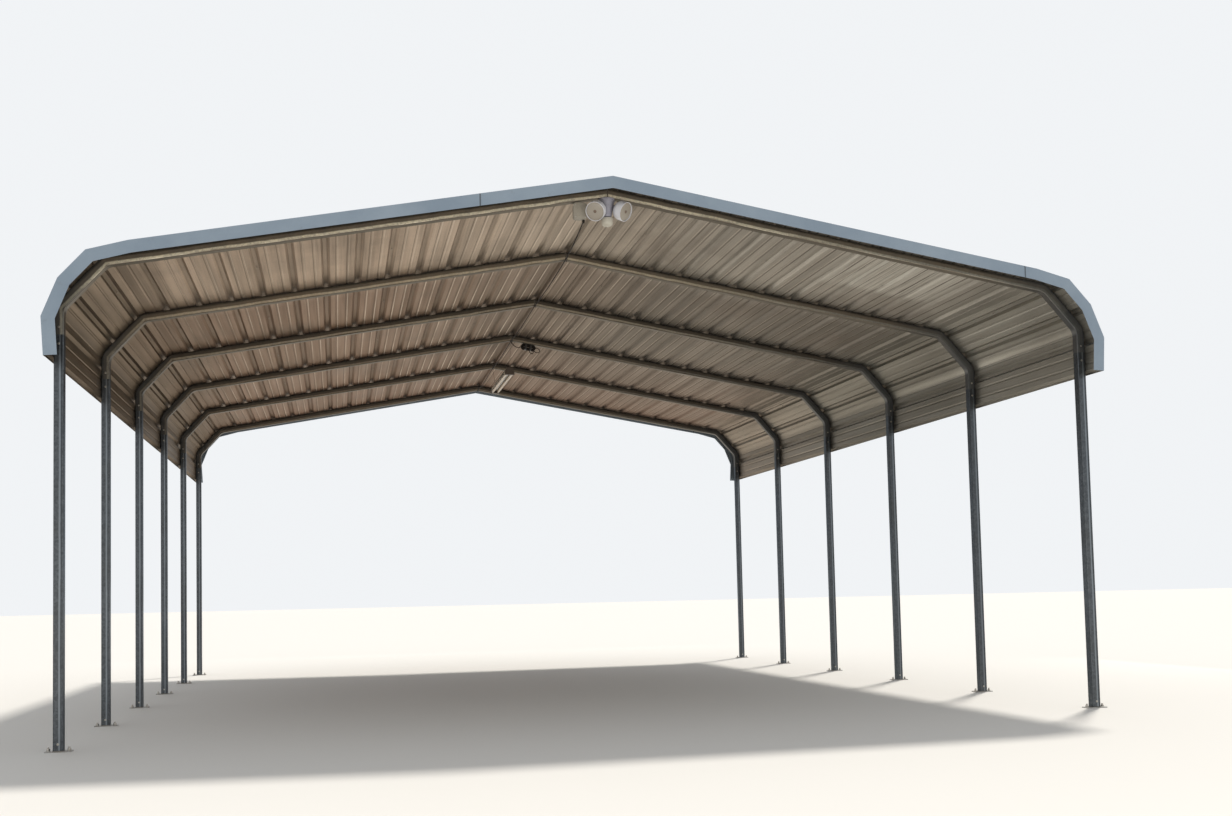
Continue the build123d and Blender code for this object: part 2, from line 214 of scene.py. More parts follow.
# The frame is square galvanised tube, bent at the eaves and joined at the peak. These sizes give
# its line: slope, eave bend, short steep run, second bend and leg, with the sheets just outside it.
names = sorted(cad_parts)
half_width = 3.324225
half_tube = 0.028575
clearance = 0.0003
rib_count = 17
bow_count = 6
bay = 1.524
bow_y = (np.arange(bow_count) - (bow_count - 1) / 2) * bay
post_top = 2.4384
pitch = radians(10)
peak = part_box("bow_1")[1].z - half_tube / cos(pitch)
eave = radians(48)
bend_radius = 0.120
eave_length = 0.380
bend_low = post_top + 0.162
skirt_drop = 0.320
lift = half_tube + clearance
skin_radius = bend_radius + lift
high_x = half_width - eave_length * cos(eave)
high_tangent = bend_radius * tan((eave - pitch) / 2)
low_tangent = bend_radius * tan((pi / 2 - eave) / 2)
runs = np.array([
    high_x / cos(pitch) - high_tangent + lift * tan(pitch),
    skin_radius * (eave - pitch),
    eave_length - high_tangent - low_tangent,
    skin_radius * (pi / 2 - eave),
    skirt_drop - low_tangent,
])
starts = np.concatenate([[0], np.cumsum(runs)])
rib_pitch = starts[-1] / rib_count
skin_top = peak + lift / cos(pitch)
planes = (
    (pitch, skin_top * cos(pitch)),
    (eave, half_width * sin(eave) + bend_low * cos(eave) + lift),
    (pi / 2, half_width + lift),
)

# Skin: the group gives how far a place lies outside the sheets' underside, which is the largest of
# its distances from the planes of slope, eave and skirt, and whether a face looks inwards.

def here(tree):
    """The three Object coordinates of the place."""
    return add(tree, "SeparateXYZ", {0: add(tree, "TexCoord").outputs["Object"]}).outputs


def ramp(tree, value, low, high, to_low=0.0, to_high=1.0):
    """The value, from low to high, carried over to the range to_low to to_high and held there."""
    inputs = {"Value": value, "From Min": low, "From Max": high, "To Min": to_low, "To Max": to_high}
    return add(tree, "MapRange", inputs).outputs[0]


skin, given, result = group("skin", {}, dict.fromkeys(("Outside", "Inner", "Across", "Depth"), "Float"))
across, depth, height = here(skin)
side = calc(skin, "ABSOLUTE", across)
outside = -1.0
for fall, start in planes:
    steep = calc(skin, "MULTIPLY", side, sin(fall))
    reach = calc(skin, "MULTIPLY_ADD", height, cos(fall), steep)
    off = calc(skin, "SUBTRACT", reach, start)
    outside = calc(skin, "MAXIMUM", off, outside)
facing = add(skin, "SeparateXYZ", {0: add(skin, "NewGeometry").outputs["Normal"]}).outputs
sign = calc(skin, "SIGN", across)
outward = calc(skin, "MULTIPLY_ADD", facing[0], sign, facing[2])
skin.links.new(outside, result.inputs["Outside"])
skin.links.new(ramp(skin, outward, 0.0, -0.1), result.inputs["Inner"])
skin.links.new(across, result.inputs["Across"])
skin.links.new(depth, result.inputs["Depth"])

# The bows are dulled by dust. A painted shade lies dark along their top edge under the sheets and thins
# out downwards, and a painted highlight runs along the lower part of each side, brightest on the front
# bow.
# The faces darken towards the back and on their undersides as painted shade. Their right half and
# their legs are greyer.

def use(tree, made, **values):
    """A group placed in a material's tree with its own values."""
    placed = tree.nodes.new("ShaderNodeGroup")
    placed.node_tree = made
    for label, value in values.items():
        placed.inputs[label].default_value = value
    return placed


def dirt(tree, size, amount):
    """How much dust covers the place, for specks of that size."""
    return use(tree, dust, Size=size, Amount=amount).outputs["Cover"]


def bump(tree, shader, height, depth, strength=1.0):
    """Relief of that height map on the shader's normal, depth metres deep."""
    relief = add(tree, "Bump", {"Height": height, "Distance": depth, "Strength": strength})
    tree.links.new(relief.outputs[0], shader.inputs["Normal"])


def dress(nodes, made):
    """Put a material into the slots of those nodes of the frame."""
    for name in nodes:
        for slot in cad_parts[name].material_slots:
            slot.material = made


bow_zinc, tree, shader = material("bow zinc")
coat = use(tree, zinc, Crystal=85.0, Weather=3.0)
line = use(tree, skin)
across, depth = line.outputs["Across"], line.outputs["Depth"]
# Painted highlight: a light stripe low on each side, dimmer on deeper bows and greyer on the right.
painted_highlight = blend(tree, ramp(tree, depth, -3.3, -2.4), (0.95, 0.87, 0.68), (0.52, 0.465, 0.36))
painted_highlight = blend(tree, ramp(tree, depth, -1.5, 1.0), painted_highlight, (0.27, 0.225, 0.17))
painted_highlight = blend(tree, ramp(tree, across, 0.6, 2.2, 0.0, 0.8), painted_highlight, (0.20, 0.20, 0.19))
# Face colour: dust, darkened towards the back as painted shade.
dusty_and_shaded = blend(tree, ramp(tree, depth, -3.3, -1.0), (0.200, 0.172, 0.134), (0.098, 0.084, 0.067))
shade_edge = (-0.010, -0.020)
highlight_top = (-0.034, -0.040)
highlight_foot = (-0.049, -0.0545)
spread = ramp(tree, coat.outputs["Mottle"], 0.3, 0.7, -0.004, 0.004)
down = calc(tree, "ADD", line.outputs["Outside"], spread)
# Painted shade along the top edge under the sheets, then the painted highlight, then the face colour
# again at the lower edge.
base = blend(tree, ramp(tree, down, *shade_edge), (0.05, 0.045, 0.037), dusty_and_shaded)
base = blend(tree, ramp(tree, down, *highlight_top), base, painted_highlight)
base = blend(tree, ramp(tree, down, *highlight_foot), base, dusty_and_shaded)
base = blend(tree, ramp(tree, coat.outputs["Spangle"], 0.2, 1.0, 0.0, 0.3), base, (0.12, 0.11, 0.09))
facing = add(tree, "SeparateXYZ", {0: add(tree, "NewGeometry").outputs["Normal"]}).outputs[2]
# Faces turned downwards are darker: painted shade.
base = blend(tree, ramp(tree, facing, -0.6, -0.9, 0.0, 0.8), base, (0.10, 0.088, 0.07))
leg_grey = (0.085, 0.094, 0.102)
base = blend(tree, ramp(tree, across, 2.6, 3.25, 0.0, 0.8), base, leg_grey)
base = blend(tree, ramp(tree, across, -3.0, -3.25, 0.0, 0.5), base, leg_grey)
specks = dirt(tree, 26.0, 0.30)
base = blend(tree, specks, base, (0.055, 0.05, 0.042))
tree.links.new(base, shader.inputs["Base Color"])
tree.links.new(ramp(tree, coat.outputs["Mottle"], 0.3, 0.7, 0.28, 0.42), shader.inputs["Roughness"])
bump(tree, shader, coat.outputs["Spangle"], 0.0001, 0.25)
shader.inputs["Specular Tint"].default_value = (0.40, 0.36, 0.31, 1)
shader.inputs["Metallic"].default_value = 0.6
dress([n for n in names if n.startswith("bow_")], bow_zinc)

# The posts are the same tube, slipped over sleeves, and stay cleaner. Up the front face, a little right
# of the middle, run a painted highlight and beside it a painted dark line of shade.
post_zinc, tree, shader = material("post zinc")
coat = use(tree, zinc, Crystal=85.0, Weather=3.0)
spangle = ramp(tree, coat.outputs["Spangle"], 0.1, 0.9)
base = blend(tree, spangle, (0.068, 0.075, 0.082), (0.100, 0.110, 0.120))
wear_and_sheen = ramp(tree, coat.outputs["Mottle"], 0.48, 0.72, 0.0, 0.45)
base = blend(tree, wear_and_sheen, base, (0.075, 0.075, 0.072))
across, depth = here(tree)[:2]
sign = calc(tree, "SIGN", across)
middle = calc(tree, "MULTIPLY", sign, half_width)
over = calc(tree, "SUBTRACT", across, middle)
wander = ramp(tree, coat.outputs["Mottle"], 0.2, 0.8, -0.002, 0.002)
over = calc(tree, "ADD", over, wander)
# Painted highlight up the front face, and a painted line of shade beside it.
highlight_from, highlight_to = (0.001, 0.003), (0.011, 0.013)
shade_line_from, shade_line_to = (0.013, 0.015), (0.018, 0.020)
light_on = ramp(tree, over, *highlight_from, 0.0, 0.75)
light_off = ramp(tree, over, *highlight_to, 1.0, 0.0)
light = calc(tree, "MULTIPLY", light_on, light_off)
base = blend(tree, light, base, (0.225, 0.25, 0.275))
# Painted shade: the right-hand posts behind the front one are darker.
right = ramp(tree, sign, 0.0, 1.0)
shaded = ramp(tree, depth, -3.6, -3.0, 0.0, 0.22)
right = calc(tree, "MULTIPLY", right, shaded)
base = blend(tree, right, base, (0.03, 0.034, 0.04))
dark_on = ramp(tree, over, *shade_line_from, 0.0, 0.7)
dark_off = ramp(tree, over, *shade_line_to, 1.0, 0.0)
dark = calc(tree, "MULTIPLY", dark_on, dark_off)
base = blend(tree, dark, base, (0.045, 0.05, 0.055))
specks = dirt(tree, 26.0, 0.24)
base = blend(tree, specks, base, (0.07, 0.07, 0.065))
tree.links.new(base, shader.inputs["Base Color"])
tree.links.new(ramp(tree, coat.outputs["Mottle"], 0.3, 0.7, 0.28, 0.42), shader.inputs["Roughness"])
bump(tree, shader, coat.outputs["Spangle"], 0.0001, 0.25)
shader.inputs["Specular Tint"].default_value = (0.46, 0.49, 0.52, 1)
shader.inputs["Metallic"].default_value = 0.85
dress([n for n in names if n.startswith("post_") or n == "sleeves"], post_zinc)

# A weld bead closes the mitre at each peak, on the front, the underside and the back of the tube.
# It is laid by hand in short overlapping ripples and left bare, so it has darkened.

def put(name, points, faces, made, sharp=35.0):
    """A piece of the carport from points and faces, smooth up to the sharp angle, fixed to the frame."""
    mesh = bpy.data.meshes.new(name)
    mesh.from_pydata(np.asarray(points).tolist(), [], faces)
    mesh.polygons.foreach_set("use_smooth", np.ones(len(mesh.polygons), bool))
    mesh.set_sharp_from_angle(angle=radians(sharp))
    mesh.materials.append(made)
    piece = bpy.data.objects.new(name, mesh)
    bpy.context.scene.collection.objects.link(piece)
    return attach(piece, "root")


def together(*shapes):
    """Several sets of points and faces as one."""
    points, faces, start = [], [], 0
    for more, sides in shapes:
        points.append(more)
        faces += [[i + start for i in face] for face in sides]
        start += len(more)
    return np.concatenate(points), faces


def carried(path, profile, side, closed=False):
    """A profile carried along a path, its first axis along side, its second across path and side.

    A point is the path's point plus the profile's coordinates times those two directions."""
    path = np.asarray(path, float)
    along = np.roll(path, -1, 0) - np.roll(path, 1, 0)
    if not closed:
        along[0], along[-1] = path[1] - path[0], path[-1] - path[-2]
    along /= np.linalg.norm(along, axis=1, keepdims=True)
    side = np.asarray(side, float) * np.ones((len(path), 1))
    side = side - (side * along).sum(1, keepdims=True) * along
    side /= np.linalg.norm(side, axis=1, keepdims=True)
    over = np.cross(along, side)
    profile = np.asarray(profile, float)
    points = path[:, None] + profile[None, :, :1] * side[:, None]
    points = points + profile[None, :, 1:] * over[:, None]
    rows, width = points.shape[:2]
    steps = np.arange(rows if closed else rows - 1)
    row, column = np.meshgrid(steps, np.arange(width), indexing="ij")
    this, below = row * width, (row + 1) % rows * width
    after = (column + 1) % width
    quads = np.stack([this + column, this + after, below + after, below + column], -1)
    faces = quads.reshape(-1, 4).tolist()
    if not closed:
        faces += [list(range(width))[::-1], list(range((rows - 1) * width, rows * width))]
    return points.reshape(-1, 3), faces


def circle(radius, sides):
    """Points of a circle, in order for carried."""
    angle = np.arange(sides) * 2 * pi / sides
    return np.stack([radius * np.cos(angle), radius * np.sin(angle)], -1)


weld_steel, tree, shader = material("weld steel")
coat = use(tree, zinc, Crystal=300.0, Weather=60.0)
base = blend(tree, coat.outputs["Mottle"], (0.07, 0.06, 0.05), (0.15, 0.132, 0.11))
tree.links.new(base, shader.inputs["Base Color"])
shader.inputs["Metallic"].default_value = 0.7
shader.inputs["Roughness"].default_value = 0.5
half_height = half_tube / cos(pitch)
t = np.linspace(0, 1, 97)
reach = np.array([(-1, 0.75), (-1, -0.8), (-0.8, -1), (0.8, -1), (1, -0.8), (1, 0.75)])
reach = reach * (half_tube, half_height)
steps = np.concatenate([[0], np.cumsum(np.linalg.norm(np.diff(reach, axis=0), axis=1))])
bead = np.stack([np.interp(t * steps[-1], steps, reach[:, i]) for i in (0, 1)], -1)
bead_size, ripple_size, ripples = 0.0022, 0.0005, 26
ripple = bead_size + ripple_size * np.sin(t * 2 * pi * ripples)
bead_sides = 8
seams = []
for y in bow_y:
    line = np.stack([np.zeros(len(t)), y + bead[:, 0], peak + bead[:, 1]], -1)
    points, faces = carried(line, circle(1.0, bead_sides), (1, 0, 0))
    middle = np.repeat(line, bead_sides, axis=0)
    points = middle + (points - middle) * np.repeat(ripple, bead_sides)[:, None] * (1.6, 1.0, 1.0)
    seams.append((points, faces))
put("peak_welds", *together(*seams), weld_steel)

# Every post is welded to its base plate all round, and two wedge anchors through the plate's
# holes hold it down: a stud, a hexagon nut and a round washer each.

def turned(profile, sides):
    """A solid turned about z from its radius and height at each step, both ends on the axis.

    A point lies at radius times cosine and sine of its angle, at the height of its step."""
    profile = np.array(profile, float)
    angle = np.arange(sides) * 2 * pi / sides
    ring = profile[1:-1]
    around = (ring[:, :1] * np.cos(angle), ring[:, :1] * np.sin(angle), ring[:, 1:] * np.ones(sides))
    wall = np.stack(around, -1).reshape(-1, 3)
    points = np.concatenate([wall, [[0, 0, profile[0, 1]], [0, 0, profile[-1, 1]]]])
    row, column = np.meshgrid(np.arange(len(ring) - 1), np.arange(sides), indexing="ij")
    after = (column + 1) % sides
    this, above = row * sides, (row + 1) * sides
    quads = np.stack([this + column, this + after, above + after, above + column], -1)
    column = np.arange(sides)
    after = (column + 1) % sides
    foot = np.stack([after, column, np.full(sides, len(wall))], -1)
    last = (len(ring) - 1) * sides
    crown = np.stack([last + column, last + after, np.full(sides, len(wall) + 1)], -1)
    return points, quads.reshape(-1, 4).tolist() + foot.tolist() + crown.tolist()


def copies(shape, origins, axes):
    """The shape at every origin, its z axis turned to each axis, as one set of points and faces.

    Each point is its three coordinates times the turned axes, added to the origin."""
    points, faces = shape
    origins = np.array(origins, float).reshape(-1, 3)
    up = np.array(axes, float).reshape(-1, 3) * np.ones((len(origins), 1))
    up /= np.linalg.norm(up, axis=1, keepdims=True)
    side = np.cross(np.where(np.abs(up[:, 1:2]) < 0.9, [[0.0, 1.0, 0.0]], [[1.0, 0.0, 0.0]]), up)
    side /= np.linalg.norm(side, axis=1, keepdims=True)
    turn = np.stack([side, np.cross(up, side), up], 1)
    moved = np.einsum("pk,nkj->npj", points, turn) + origins[:, None]
    shifted = [[i + k * len(points) for i in face] for k in range(len(origins)) for face in faces]
    return moved.reshape(-1, 3), shifted


foot_zinc, tree, shader = material("foot zinc")
coat = use(tree, zinc, Crystal=60.0, Weather=9.0)
specks = dirt(tree, 60.0, 0.42)
base = blend(tree, ramp(tree, coat.outputs["Mottle"], 0.4, 0.7), (0.36, 0.355, 0.34), (0.24, 0.22, 0.19))
base = blend(tree, specks, base, (0.20, 0.13, 0.08))
tree.links.new(base, shader.inputs["Base Color"])
tree.links.new(ramp(tree, coat.outputs["Spangle"], 0.0, 1.0, 0.42, 0.6), shader.inputs["Roughness"])
shader.inputs["Metallic"].default_value = 0.75
dress(["left_feet", "right_feet"], foot_zinc)
plate_top = 0.006
anchor_side = 0.058
posts = [(side * half_width, y) for side in (-1, 1) for y in bow_y]
corner = 0.006
foot_bead = 0.0032
quarter = np.linspace(0, pi / 2, 5)
arc = corner * np.stack([np.cos(quarter), np.sin(quarter)], -1) + (half_tube - corner)
turns = [np.array([[cos(a), sin(a)], [-sin(a), cos(a)]]) for a in np.arange(4) * pi / 2]
square = np.concatenate([arc @ turn for turn in turns])
rings = []
for x, y in posts:
    line = np.column_stack([square + (x, y), np.full(len(square), plate_top)])
    rings.append(carried(line, circle(foot_bead, 8), (0, 0, 1), closed=True))
put("foot_welds", *together(*rings), weld_steel)
anchors = [(x + side * anchor_side, y, plate_top) for x, y in posts for side in (-1, 1)]
washer = turned([(0, 0), (0.0125, 0), (0.0125, 0.0022), (0.0118, 0.0026), (0, 0.0026)], 20)
nut = [(0, 0.0026), (0.0100, 0.0026), (0.0108, 0.0036), (0.0108, 0.0116), (0.0096, 0.0128), (0, 0.0128)]
nut = turned(nut, 6)
stud = turned([(0, 0.0128), (0.0058, 0.0128), (0.0058, 0.0215), (0.0048, 0.0225), (0, 0.0225)], 12)
anchor_zinc, tree, shader = material("anchor zinc")
specks = dirt(tree, 180.0, 0.46)
base = blend(tree, specks, (0.48, 0.46, 0.42), (0.26, 0.15, 0.08))
tree.links.new(base, shader.inputs["Base Color"])
tree.links.new(ramp(tree, specks, 0.0, 1.0, 0.32, 0.7), shader.inputs["Roughness"])
shader.inputs["Metallic"].default_value = 0.85
put("anchors", *copies(together(washer, nut, stud), anchors, (0, 0, 1)), anchor_zinc, 25.0)

# Self-drilling screws with hexagon heads pin the frame: one low on each post into the stub of
# its foot, and two at each slip joint, below and above the line where the bow leg starts.
frame_head = together(
    turned([(0, 0), (0.0072, 0), (0.0072, 0.0008), (0.0050, 0.0014), (0, 0.0014)], 16),
    turned([(0, 0.0014), (0.0046, 0.0014), (0.0046, 0.0052), (0.0040, 0.0058), (0, 0.0058)], 6),
)
low_screw, below_joint, above_joint = 0.045, 0.055, 0.045
heights = (low_screw, post_top - below_joint, post_top + above_joint)
heads = [(x, y - half_tube, z) for x, y in posts for z in heights]
screw_zinc, tree, shader = material("screw zinc")
specks = dirt(tree, 300.0, 0.38)
base = blend(tree, specks, (0.40, 0.38, 0.34), (0.13, 0.10, 0.08))
tree.links.new(base, shader.inputs["Base Color"])
tree.links.new(ramp(tree, specks, 0.0, 1.0, 0.3, 0.6), shader.inputs["Roughness"])
shader.inputs["Metallic"].default_value = 0.9
put("frame_screws", *copies(frame_head, heads, (0, -1, 0)), screw_zinc, 25.0)

# The roof is thin ribbed steel sheet in nine lengths, coated with zinc and aluminium. It stays grey
# on top; below, painted reflection and shade brown and darken it towards the back, painted shade lies
# along each bow, and dust and painted shade darken the ribs' hollows. The flanks of the low swages
# between the ribs carry a painted highlight on the ridge's side and painted shade on the other.
sheet_zinc, tree, shader = material("sheet zinc")
coat = use(tree, zinc, Crystal=240.0, Weather=1.2)
line = use(tree, skin)
place = add(tree, "TexCoord").outputs["Object"]
streak_place = add(tree, "Mapping", {"Vector": place, "Scale": (16.0, 0.55, 16.0)}).outputs[0]
streaks = add(tree, "TexNoise", {"Vector": streak_place, "Scale": 1.0, "Detail": 5.0}).outputs["Fac"]
fine_place = add(tree, "Mapping", {"Vector": place, "Scale": (90.0, 1.4, 90.0)}).outputs[0]
fine = add(tree, "TexNoise", {"Vector": fine_place, "Scale": 1.0, "Detail": 3.0}).outputs["Fac"]
patch = add(tree, "TexNoise", {"Vector": place, "Scale": 1.4, "Detail": 4.0}).outputs["Fac"]
across, depth = line.outputs["Across"], line.outputs["Depth"]
outside, inner = line.outputs["Outside"], line.outputs["Inner"]
rightness = ramp(tree, across, -1.5, 1.0)
# Lighter in the front bay, darker in the deeper bays and browner on the left: painted reflection and
# shade.
near = blend(tree, rightness, (0.620, 0.495, 0.390), (0.440, 0.415, 0.370))
deep = blend(tree, rightness, (0.300, 0.200, 0.145), (0.190, 0.178, 0.160))
base = blend(tree, ramp(tree, depth, -2.5, -1.9), near, deep)
# Browner still towards the back: painted reflection and shade.
base = blend(tree, ramp(tree, depth, 0.0, 3.6, 0.0, 0.7), base, (0.225, 0.132, 0.098))
base = blend(tree, ramp(tree, patch, 0.5, 0.7, 0.0, 0.4), base, (0.155, 0.13, 0.112))
# Darker under the left eave and skirt: painted shade. Lighter under the right eave: painted light.
base = blend(tree, ramp(tree, across, -2.7, -3.3, 0.0, 0.85), base, (0.105, 0.082, 0.058))
base = blend(tree, ramp(tree, across, 2.7, 3.2, 0.0, 0.5), base, (0.36, 0.35, 0.30))
rain = blend(tree, ramp(tree, patch, 0.35, 0.7), (0.40, 0.41, 0.41), (0.31, 0.32, 0.325))
base = blend(tree, inner, rain, base)
base = blend(tree, ramp(tree, coat.outputs["Spangle"], 0.0, 1.0, 0.0, 0.22), base, (0.10, 0.09, 0.075))
base = blend(tree, ramp(tree, streaks, 0.42, 0.72, 0.0, 0.28), base, (0.10, 0.088, 0.07))
base = blend(tree, ramp(tree, fine, 0.5, 0.8, 0.0, 0.35), base, (0.085, 0.075, 0.06))
# The ribs' hollows darken with dust and painted shade, more on the left slope.
rib_side = (0.010, 0.018)
hollow = ramp(tree, outside, *rib_side)
dust_and_shade = ramp(tree, across, -0.5, 0.5, 0.38, 0.12)
hollow = calc(tree, "MULTIPLY", hollow, dust_and_shade)
hollow = calc(tree, "MULTIPLY", hollow, inner)
base = blend(tree, hollow, base, (0.065, 0.055, 0.043))
far = calc(tree, "ABSOLUTE", across)
third = calc(tree, "DIVIDE", far, cos(pitch) * rib_pitch / 3)
third = calc(tree, "FRACT", third)
slope_end, swage_top = (3.00, 2.90), (0.006, 0.004)
on_slope = ramp(tree, far, *slope_end)
shallow = ramp(tree, outside, *swage_top)
on_slope = calc(tree, "MULTIPLY", on_slope, shallow)
on_slope = calc(tree, "MULTIPLY", on_slope, inner)
# Painted highlight on each swage's flank on the ridge's side, painted shade on the other; the
# highlight's strength varies from place to place.
wear_and_sheen = ramp(tree, patch, 0.35, 0.6, 0.75, 0.25)
for rise, fall, strength, colour in (
    ((0.855, 0.875), (0.950, 0.965), wear_and_sheen, (0.78, 0.70, 0.60)),
    ((0.045, 0.060), (0.125, 0.140), 0.55, (0.06, 0.05, 0.04)),
):
    flank = calc(tree, "MULTIPLY", ramp(tree, third, *rise), ramp(tree, third, *fall, 1.0, 0.0))
    flank = calc(tree, "MULTIPLY", flank, on_slope)
    flank = calc(tree, "MULTIPLY", flank, strength)
    base = blend(tree, flank, base, colour)
# Painted shade darkens the underside along each bow, in front of it and behind it.
bays = calc(tree, "SUBTRACT", depth, float(bow_y[0]))
bays = calc(tree, "DIVIDE", bays, bay)
into_bay = calc(tree, "FRACT", bays)
cloud = add(tree, "TexNoise", {"Vector": place, "Scale": 9.0, "Detail": 6.0}).outputs["Fac"]
spread = ramp(tree, cloud, 0.3, 0.7, -0.02, 0.02)
reach = calc(tree, "ADD", into_bay, spread)
before_bow, behind_bow = (0.935, 0.985), (0.045, 0.020)
bow_shade = ramp(tree, reach, *before_bow, 0.0, 0.6)
behind = ramp(tree, into_bay, *behind_bow, 0.0, 0.85)
bow_shade = calc(tree, "MAXIMUM", bow_shade, behind)
bow_shade = calc(tree, "MULTIPLY", bow_shade, inner)
base = blend(tree, bow_shade, base, (0.05, 0.044, 0.036))
# A lighter patch lies beside the front bow on the right slope.
lighter_patch = ramp(tree, fine, 0.42, 0.52, 0.0, 0.65)
for axis, middle, reach in ((across, 2.20, 0.50), (depth, -3.28, 0.42)):
    off = calc(tree, "SUBTRACT", axis, middle)
    off = calc(tree, "ABSOLUTE", off)
    lighter_patch = calc(tree, "MULTIPLY", lighter_patch, ramp(tree, off, reach, reach * 0.75))
lighter_patch = calc(tree, "MULTIPLY", lighter_patch, inner)
base = blend(tree, lighter_patch, base, (0.62, 0.60, 0.54))
specks = dirt(tree, 70.0, 0.33)
base = blend(tree, specks, base, (0.075, 0.066, 0.054))
tree.links.new(base, shader.inputs["Base Color"])
tree.links.new(ramp(tree, streaks, 0.3, 0.7, 0.30, 0.44), shader.inputs["Roughness"])
waves = add(tree, "TexNoise", {"Vector": place, "Scale": 3.5, "Detail": 2.0}).outputs["Fac"]
bump(tree, shader, waves, 0.0012, 0.5)
shader.inputs["Metallic"].default_value = 0.7
shader.inputs["Specular Tint"].default_value = (0.42, 0.36, 0.30, 1)
dress([n for n in names if "panel" in n], sheet_zinc)

# The sheets follow the bows: slope, eave bend, short steep run, second bend and skirt. Ribs lie at
# equal steps round that line, and screws with rubber washers stand beside each rib over each bow.

def roof_line(s, h):
    """Place and outward direction at distance s from the ridge, h outside the sheet's underside.

    On a straight run the angle of fall stays and the place moves along it; on a bend the angle
    grows by distance over radius and the place moves round the arc."""
    s = np.asarray(s, float)
    side = np.where(s < 0, -1.0, 1.0)
    s = np.abs(s)
    angle0 = np.array([pitch, pitch, eave, eave, pi / 2])
    curve = np.array([0, 1, 0, 1, 0]) / skin_radius
    angle1 = angle0 + runs * curve
    arc_x = skin_radius * (np.sin(angle1) - np.sin(angle0))
    arc_z = skin_radius * (np.cos(angle1) - np.cos(angle0))
    step_x = np.where(curve > 0, arc_x, runs * np.cos(angle0))
    step_z = np.where(curve > 0, arc_z, -runs * np.sin(angle0))
    at_x = np.concatenate([[0], np.cumsum(step_x)])
    at_z = peak + lift / cos(pitch) + np.concatenate([[0], np.cumsum(step_z)])
    k = np.clip(np.searchsorted(starts, s, side="right") - 1, 0, len(runs) - 1)
    run = s - starts[k]
    angle = angle0[k] + run * curve[k]
    bent = curve[k] > 0
    from_angle = angle0[k]
    arc_x = skin_radius * (np.sin(angle) - np.sin(from_angle))
    arc_z = skin_radius * (np.cos(angle) - np.cos(from_angle))
    x = at_x[k] + np.where(bent, arc_x, run * np.cos(from_angle))
    z = at_z[k] + np.where(bent, arc_z, -run * np.sin(from_angle))
    out = np.stack([side * np.sin(angle), np.cos(angle)], -1)
    return np.stack([side * x, z], -1) + np.asarray(h)[..., None] * out, out


def on_roof(s, h, y):
    """Origins and axes for pieces that stand on the roof at every s and every y."""
    at, out = roof_line(s, np.full(len(s), h))
    across, along = np.meshgrid(np.arange(len(s)), np.asarray(y), indexing="ij")
    across, along = across.ravel(), along.ravel()
    origins = np.stack([at[across, 0], along, at[across, 1]], -1)
    axes = np.stack([out[across, 0], np.zeros(len(across)), out[across, 1]], -1)
    return origins, axes


sheet = 0.0005
beside = 0.043
skirt_free = 0.22
ribs = np.arange(rib_count)
lines = np.concatenate([ribs * rib_pitch + beside, -(ribs * rib_pitch + beside)])
lines = lines[np.abs(lines) < starts[-1] - skirt_free]
roof_head = turned([(0, 0.0026), (0.0046, 0.0026), (0.0046, 0.0066), (0.0040, 0.0072), (0, 0.0072)], 6)
roof_cap = turned([(0, 0.0014), (0.0070, 0.0014), (0.0066, 0.0022), (0.0050, 0.0027), (0, 0.0027)], 14)
roof_screw = together(roof_head, roof_cap)
put("roof_screws", *copies(roof_screw, *on_roof(lines, sheet, bow_y)), screw_zinc, 25.0)
washer_rubber, tree, shader = material("washer rubber")
specks = dirt(tree, 400.0, 0.4)
base = blend(tree, specks, (0.03, 0.03, 0.03), (0.12, 0.11, 0.10))
tree.links.new(base, shader.inputs["Base Color"])
shader.inputs["Roughness"].default_value = 0.8
roof_pad = turned([(0, 0), (0.0072, 0), (0.0076, 0.0007), (0.0072, 0.0014), (0, 0.0014)], 14)
put("roof_washers", *copies(roof_pad, *on_roof(lines, sheet, bow_y)), washer_rubber)

# Stitch screws hold the laps together between the bows: they go down through the crown of both
# ribs, and their points show as dark dots in the hollow from below.
rib_height = 0.019
lapped_ribs = np.array([2, 6, 10, 14])
laps = lapped_ribs * rib_pitch
laps = np.concatenate([laps, -laps])
middles = bow_y[:-1] + bay / 2
stitch = together(
    turned([(0, 0), (0.0060, 0), (0.0058, 0.0008), (0, 0.0010)], 12),
    turned([(0, 0.0010), (0.0042, 0.0010), (0.0042, 0.0046), (0, 0.0050)], 6),
)
lap_top = rib_height + 2 * sheet + clearance
put("stitch_screws", *copies(stitch, *on_roof(laps, lap_top, middles)), screw_zinc, 25.0)
point = turned([(0, -0.0150), (0.0012, -0.0125), (0.0024, -0.0100), (0.0024, 0), (0, 0)], 10)
put("stitch_points", *copies(point, *on_roof(laps, rib_height, middles)), screw_zinc)

# The end trim is an angle folded from the same steel in three lengths, screwed to every second rib
# through its top flange. It is cool and clean, with a dark line of dirt where two lengths meet.
trim_zinc, tree, shader = material("trim zinc")
coat = use(tree, zinc, Crystal=240.0, Weather=2.0)
specks = dirt(tree, 18.0, 0.34)
mottle = ramp(tree, coat.outputs["Mottle"], 0.35, 0.65)
base = blend(tree, mottle, (0.275, 0.330, 0.385), (0.225, 0.278, 0.335))
base = blend(tree, specks, base, (0.18, 0.19, 0.20))
across = here(tree)[0]
ridge_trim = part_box("front_ridge_trim")
for joint in (ridge_trim[0].x, ridge_trim[1].x):
    off = calc(tree, "SUBTRACT", across, joint)
    off = calc(tree, "ABSOLUTE", off)
    base = blend(tree, ramp(tree, off, 0.006, 0.003, 0.0, 0.85), base, (0.07, 0.08, 0.09))
tree.links.new(base, shader.inputs["Base Color"])
tree.links.new(ramp(tree, coat.outputs["Spangle"], 0.0, 1.0, 0.36, 0.48), shader.inputs["Roughness"])
shader.inputs["Metallic"].default_value = 0.6
dress([n for n in names if n.endswith("_trim")], trim_zinc)
